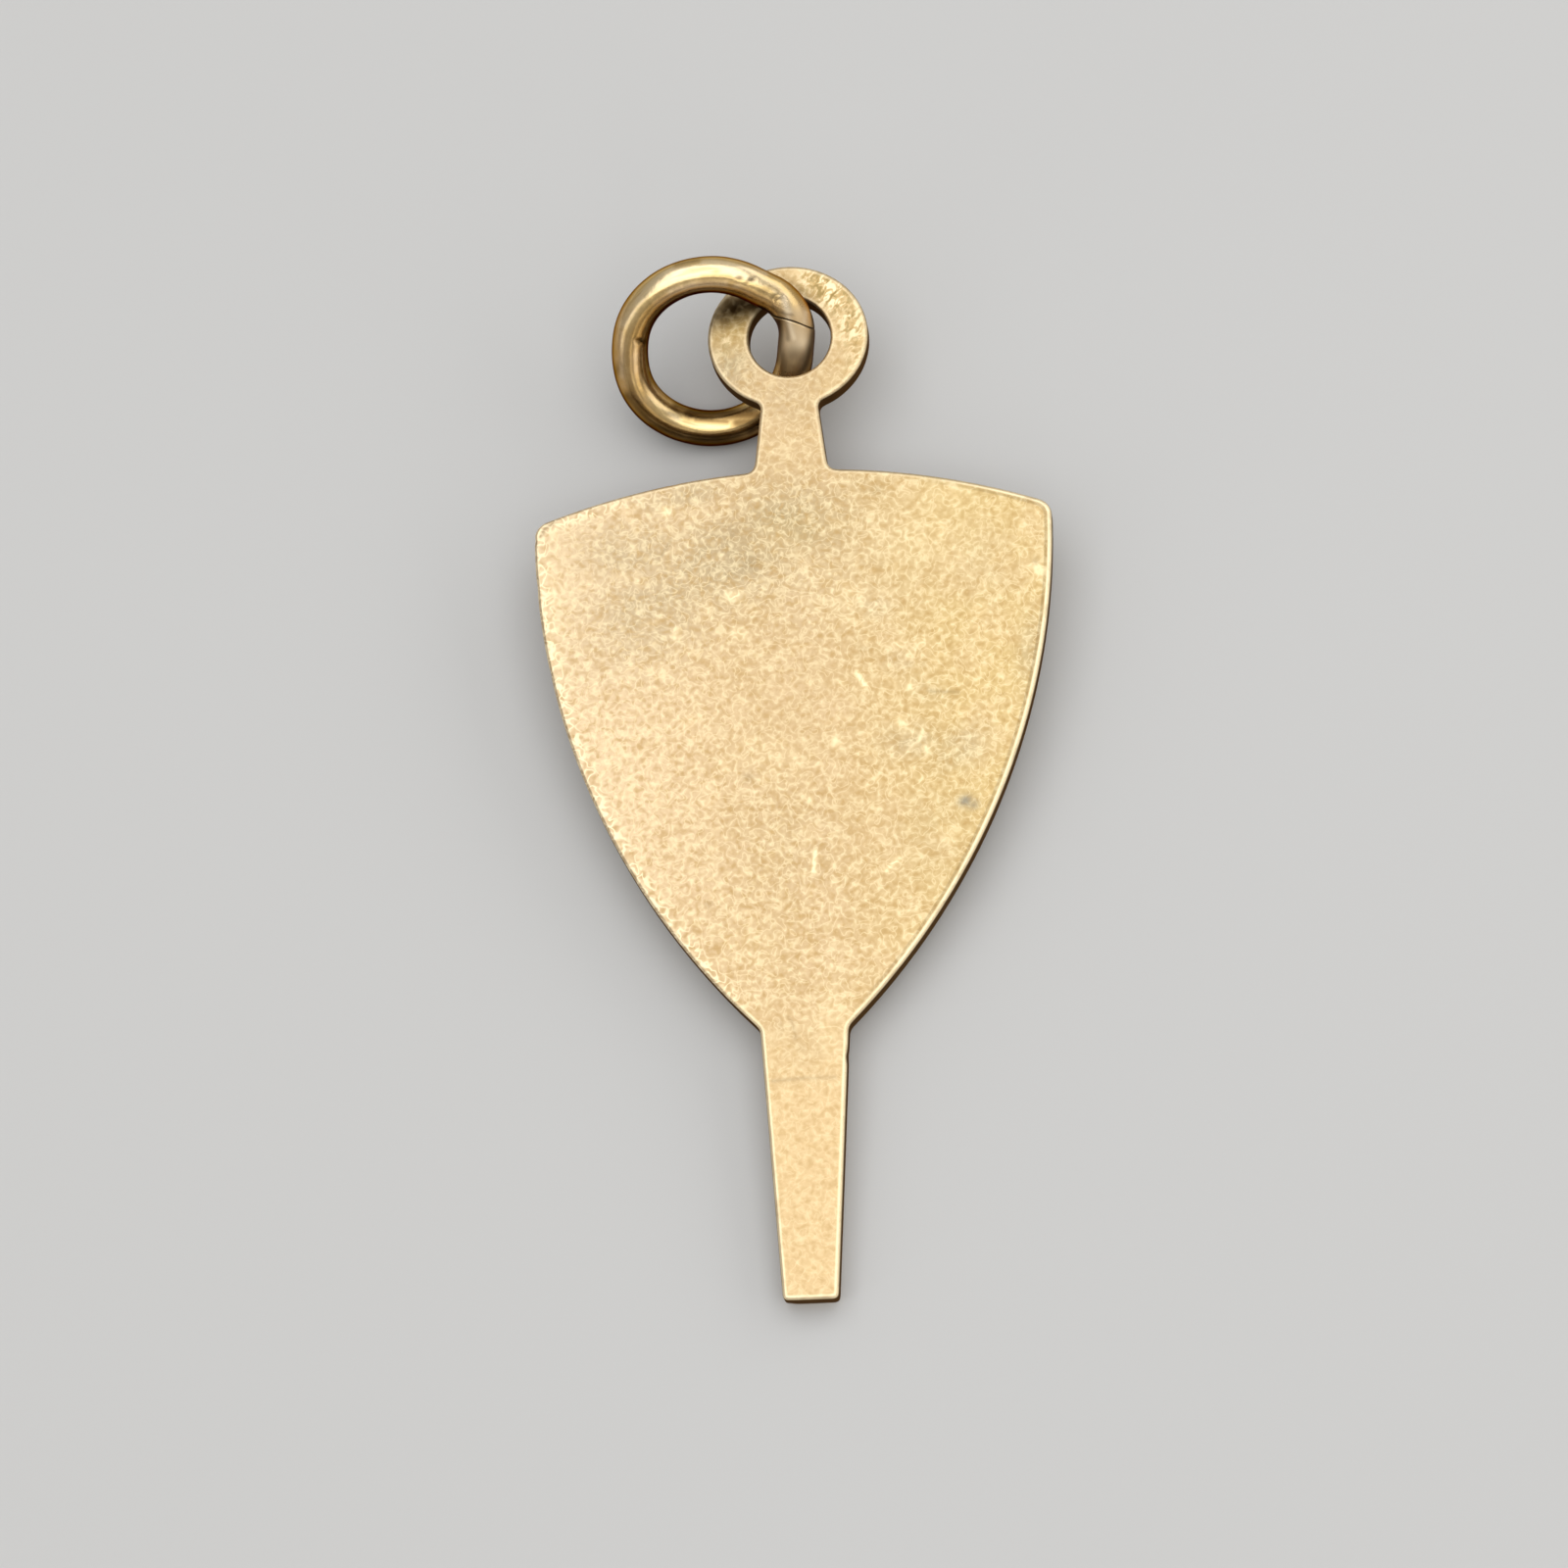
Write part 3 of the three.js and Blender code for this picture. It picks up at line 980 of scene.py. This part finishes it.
def finish_ring(mesh):
    """Wear in the mesh, and the numbers that the material reads."""
    points, normals, seen = surface(mesh)
    shown = smooth(*FACING_FADE, normals @ BACK)
    pits = shown * marks(seen, PITS)
    shade = shown * marks(seen, SHADES)

    # the broad waves only sink, so that the wire stays as thick as its solid
    local = points / MM
    rise = waves(local, *WIRE_BROAD) - WIRE_BROAD[0] + waves(local, *WIRE_FINE)
    rise -= PIT_DEPTH * pits
    points = cut_facet(points, normals, seen)
    move_vertices(mesh, points + normals * rise[:, None] * MM)

    # the wire's upper side is painted bright, a highlight that is partly wear; its lower side and the shades take
    # painted shade; the glints are painted highlights
    tilt = normals[:, 2]
    paint(mesh, {
        "wear_and_highlight": smooth(*HIGHLIGHT_AND_WEAR_TILT, tilt) * (1 - shade),
        "under": np.maximum(smooth(*UNDER_TILT, tilt), shade),
        "dull": shown * marks(seen, DULLED),
        "bright": shown * marks(seen, GLINTS),
        "grime": pits,
    })


# Materials

# The Mix node's sockets for colours: the share, the two that it mixes, and the result
MIX_SHARE = 0
MIX_FIRST = 6
MIX_SECOND = 7
MIX_RESULT = 2


class Metal:
    """A metal whose look follows noise and the numbers painted on its mesh."""

    def __init__(self, name):
        self.material = bpy.data.materials.new(name)
        self.material.use_nodes = True
        self.tree = self.material.node_tree
        self.shader = self.tree.nodes["Principled BSDF"]
        self.put(self.shader, "Metallic", 1.0)
        place = self.add("TexCoord").outputs["Object"]
        scaled = self.add("VectorMath", {0: place, "Scale": 1 / MM}, operation="SCALE")
        self.place = scaled.outputs[0]

    def put(self, node, name, value):
        """Links a node's input to a socket, or gives it a fixed value."""
        if isinstance(value, bpy.types.NodeSocket):
            self.tree.links.new(value, node.inputs[name])
        else:
            node.inputs[name].default_value = value

    def add(self, kind, inputs=None, **settings):
        """A new shader node with the given inputs and settings."""
        node = self.tree.nodes.new("ShaderNode" + kind)
        for name, value in settings.items():
            setattr(node, name, value)
        for name, value in (inputs or {}).items():
            self.put(node, name, value)
        return node

    def grain(self, size, detail=2.0, roughness=0.5, distortion=0.0, place=None):
        """Noise with features of a size in millimetres."""
        return self.add("TexNoise", {
            "Vector": self.place if place is None else place, "Scale": 1 / size,
            "Detail": detail, "Roughness": roughness, "Distortion": distortion,
        }).outputs["Fac"]

    def stored(self, name):
        """The number painted on the mesh under a name."""
        return self.add("Attribute", attribute_name=name).outputs["Fac"]

    def spread(self, value, low, high, to_low=0.0, to_high=1.0):
        """A value's range from low to high turned softly into another range."""
        return self.add("MapRange", {
            "Value": value, "From Min": low, "From Max": high,
            "To Min": to_low, "To Max": to_high,
        }, interpolation_type="SMOOTHSTEP").outputs["Result"]

    def calc(self, operation, a, b=0.0):
        """The result of a Math node."""
        return self.add("Math", {0: a, 1: b}, operation=operation).outputs[0]

    def times(self, *factors):
        """The product of numbers and sockets."""
        product = factors[0]
        for factor in factors[1:]:
            product = self.calc("MULTIPLY", product, factor)
        return product

    def layered(self, colour, *layers):
        """Colours laid over each other: each layer is its share and its own colour."""
        for share, tone in layers:
            colour = self.add("Mix", {
                MIX_SHARE: share, MIX_FIRST: colour, MIX_SECOND: tone,
            }, data_type="RGBA").outputs[MIX_RESULT]
        return colour

    def bump(self, *layers):
        """Heights laid over each other: each layer is its pattern and its depth in millimetres."""
        normal = None
        for height, depth in layers:
            inputs = {"Height": height, "Strength": 1.0, "Distance": depth * MM}
            if normal is not None:
                inputs["Normal"] = normal
            normal = self.add("Bump", inputs).outputs["Normal"]
        self.put(self.shader, "Normal", normal)


def satin_brass():
    metal = Metal("satin_brass")
    pale = (0.70, 0.53, 0.33, 1)
    gold = (0.58, 0.42, 0.23, 1)
    olive = (0.61, 0.45, 0.205, 1)
    stem_highlight = (0.69, 0.505, 0.27, 1)
    yellow = (0.98, 0.76, 0.40, 1)
    cream = (0.90, 0.765, 0.475, 1)
    flash = (1.0, 0.84, 0.52, 1)
    rubbed_and_highlight = (1.0, 0.83, 0.54, 1)
    gilt = (0.56, 0.38, 0.12, 1)
    grey = (0.42, 0.335, 0.205, 1)
    lead = (0.22, 0.21, 0.175, 1)
    umber = (0.44, 0.275, 0.095, 1)
    olive_dent = (0.32, 0.23, 0.085, 1)
    brown = (0.11, 0.062, 0.022, 1)
    tarnish_and_shadow_black = (0.045, 0.022, 0.006, 1)
    white = (1.0, 1.0, 1.0, 1)
    brown_sheen = (0.3, 0.17, 0.07, 1)
    rough_wall = (0.6, 0.6, 0.6, 1)

    across = metal.add("SeparateXYZ", {0: metal.place}).outputs[0]
    cloud = metal.grain(1.6, detail=3.0)
    patch = metal.grain(0.6, distortion=0.6)
    curls = metal.grain(0.18, detail=0.0, distortion=0.4)
    worms = metal.grain(0.27, detail=0.0, distortion=0.8)
    fine = metal.grain(0.08)
    gap = metal.calc("ABSOLUTE", metal.calc("SUBTRACT", worms, 0.5))
    slanted = metal.add("Mapping", {
        "Vector": metal.place, "Rotation": (0, 0, math.radians(50)), "Scale": (1.0, 0.55, 1.0),
    }, vector_type="TEXTURE").outputs[0]
    streak = metal.grain(0.3, detail=1.0, distortion=0.8, place=slanted)
    edge = metal.stored("edge")
    wall = metal.stored("wall")
    scuff = metal.stored("scuff")
    tarnish_and_shadow = metal.stored("tarnish_and_shadow")
    # the rim's painted highlight, partly wear
    wear_and_highlight = metal.times(metal.spread(edge, 0.17, 0.1), metal.stored("rim"))
    mottled = metal.calc("SUBTRACT", 1.0, metal.times(metal.stored("calm"), 0.4))

    colour = metal.layered(
        pale,
        # the broad colour: pale at the left, olive at the right, a stem painted paler as a highlight, with the
        # stained and gilt parts
        (metal.spread(across, *PALE_LEFT), gold),
        (metal.spread(across, *OLIVE_RIGHT), olive),
        (metal.spread(cloud, 0.4, 0.7, 0.0, 0.3), pale),
        (metal.times(metal.stored("stem"), 0.8), stem_highlight),
        (metal.times(metal.stored("stain"), metal.spread(patch, 0.3, 0.7, 1.0, 0.7)), grey),
        (metal.times(metal.stored("gilt"), 0.8), gilt),
        (metal.spread(patch, 0.55, 0.75, 0.0, 0.12), yellow),
        # the fine mottle
        (metal.times(mottled, metal.spread(curls, 0.5, 0.2, 0.0, 0.5)), umber),
        (metal.times(mottled, metal.spread(curls, 0.5, 0.8, 0.0, 0.38)), cream),
        (metal.times(mottled, metal.spread(gap, 0.16, 0.26, 0.0, 0.28)), umber),
        (metal.times(mottled, metal.spread(gap, 0.07, 0.0, 0.0, 0.4)), cream),
        (metal.spread(fine, 0.56, 0.70, 0.0, 0.1), rubbed_and_highlight),
        # scuffs; the rim's painted highlight, partly wear, with a painted dark reflection inside it on the right
        # and a speckled painted highlight on the left; and flecks painted as glints
        (metal.times(scuff, metal.spread(streak, 0.48, 0.38, 0.0, 0.9)), olive_dent),
        (metal.times(scuff, metal.spread(streak, 0.52, 0.62)), rubbed_and_highlight),
        (metal.times(metal.stored("inner_line"), metal.spread(edge, 0.26, 0.22, 0.0, 0.3)), brown),
        (metal.times(metal.stored("speckled"), metal.spread(gap, 0.11, 0.04, 0.0, 0.9)), rubbed_and_highlight),
        (metal.times(wear_and_highlight, metal.spread(patch, 0.25, 0.5, 0.6, 1.0)), rubbed_and_highlight),
        (metal.times(metal.stored("bright"), metal.spread(gap, 0.16, 0.06, 0.45, 1.0)), flash),
        # dirt over all of it: tarnish with the ring's painted shadow on the bow, leaden smears, grooves and
        # specks, and painted shade on the side walls
        (metal.times(tarnish_and_shadow, metal.spread(curls, 0.4, 0.7, 1.0, 0.72)), tarnish_and_shadow_black),
        (metal.times(metal.stored("leaden"), 0.9), lead),
        (metal.times(metal.stored("grime"), 0.45), brown),
        (metal.times(wall, 0.95), brown),
    )
    metal.put(metal.shader, "Base Color", colour)
    satin = metal.spread(fine, 0.3, 0.7, 0.46, 0.4)
    metal.put(metal.shader, "Roughness", metal.layered(satin, (wall, rough_wall)))
    # brown reflections where the side walls take painted shade and where tarnish and the ring's painted shadow lie
    shade_and_tarnish = metal.calc("MAXIMUM", wall, tarnish_and_shadow)
    metal.put(metal.shader, "Specular Tint", metal.layered(white, (shade_and_tarnish, brown_sheen)))
    metal.bump((curls, 0.004), (fine, 0.001))
    return metal.material


def aged_brass():
    metal = Metal("aged_brass")
    bronze = (0.54, 0.32, 0.10, 1)
    pink = (0.60, 0.38, 0.17, 1)
    gold = (0.92, 0.66, 0.29, 1)
    rubbed_and_highlight = (1.0, 0.83, 0.55, 1)
    dull = (0.76, 0.59, 0.37, 1)
    pale = (1.0, 0.82, 0.56, 1)
    dark = (0.08, 0.04, 0.012, 1)
    brown_sheen = (0.35, 0.20, 0.08, 1)

    cloud = metal.grain(0.9, detail=4.0, roughness=0.6)
    fine = metal.grain(0.12, detail=3.0, roughness=0.6)
    along_wire = metal.add("CombineXYZ", {
        0: metal.times(metal.stored("run"), DRAWN_ALONG),
        1: metal.times(metal.stored("turn"), DRAWN_ROUND),
    }).outputs[0]
    drawn = metal.grain(1.0, roughness=0.6, place=along_wire)
    wear_and_highlight = metal.stored("wear_and_highlight")
    dulled = metal.stored("dull")

    colour = metal.layered(
        bronze,
        (metal.spread(cloud, 0.35, 0.65), pink),
        # the upper side painted gold and bright: a highlight that is partly wear
        (metal.spread(wear_and_highlight, 0.05, 0.85), gold),
        (metal.spread(wear_and_highlight, 0.8, 1.0, 0.0, 0.7), rubbed_and_highlight),
        # lines drawn along the wire
        (metal.spread(drawn, 0.48, 0.32, 0.0, 0.4), bronze),
        (metal.spread(drawn, 0.55, 0.72, 0.0, 0.35), gold),
        # marks: dulled wire, painted shade on the lower side and painted dark reflections, painted glints, and
        # pits
        (dulled, dull),
        (metal.stored("under"), dark),
        (metal.stored("bright"), pale),
        (metal.times(metal.stored("grime"), 0.8), dark),
    )
    metal.put(metal.shader, "Base Color", colour)
    shine = metal.spread(fine, 0.3, 0.7, 0.19, 0.27)
    metal.put(metal.shader, "Roughness", metal.calc("ADD", shine, metal.times(dulled, 0.3)))
    metal.put(metal.shader, "Metallic", metal.calc("SUBTRACT", 1.0, metal.times(dulled, 0.5)))
    metal.put(metal.shader, "Specular Tint", brown_sheen)
    metal.bump((cloud, 0.014), (drawn, 0.003), (fine, 0.0007))
    return metal.material


# Stage


def make_floor():
    bm = bmesh.new()
    bmesh.ops.create_grid(bm, x_segments=1, y_segments=1, size=FLOOR_REACH * MM)
    mesh = bpy.data.meshes.new("floor")
    bm.to_mesh(mesh)
    bm.free()
    floor = bpy.data.objects.new("floor", mesh)
    material = bpy.data.materials.new("floor")
    material.use_nodes = True
    shader = material.node_tree.nodes["Principled BSDF"]
    shader.inputs["Base Color"].default_value = FLOOR_COLOUR
    shader.inputs["Roughness"].default_value = FLOOR_ROUGHNESS
    mesh.materials.append(material)
    bpy.context.scene.collection.objects.link(floor)


def softbox(name, tilt, heading, distance, width, height, power):
    """A soft light aimed at the charm."""
    data = bpy.data.lights.new(name, "AREA")
    data.shape = "RECTANGLE"
    data.size = width * MM
    data.size_y = height * MM
    data.energy = power
    light = bpy.data.objects.new(name, data)
    tilt = math.radians(tilt)
    heading = math.radians(heading)
    away = Vector((
        math.sin(tilt) * math.sin(heading),
        math.sin(tilt) * math.cos(heading),
        math.cos(tilt),
    ))
    light.location = away * distance * MM
    light.rotation_mode = "QUATERNION"
    light.rotation_quaternion = away.to_track_quat("Z", "Y")
    bpy.context.scene.collection.objects.link(light)


def make_lights():
    for light in SOFTBOXES:
        softbox(*light)
    world = bpy.data.worlds.new("studio")
    world.use_nodes = True
    background = world.node_tree.nodes["Background"]
    background.inputs["Color"].default_value = SKY_COLOUR
    background.inputs["Strength"].default_value = SKY_STRENGTH
    bpy.context.scene.world = world
    bpy.context.scene.view_settings.view_transform = "Standard"


# Assembly

make_camera()
make_floor()
make_lights()

for make, node, body, material in (
    (make_plate, "shield_plate", "charm", satin_brass),
    (make_ring, "jump_ring", "ring", aged_brass),
):
    piece = make()
    piece.data.materials.append(material())
    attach(piece, body)
    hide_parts(node)
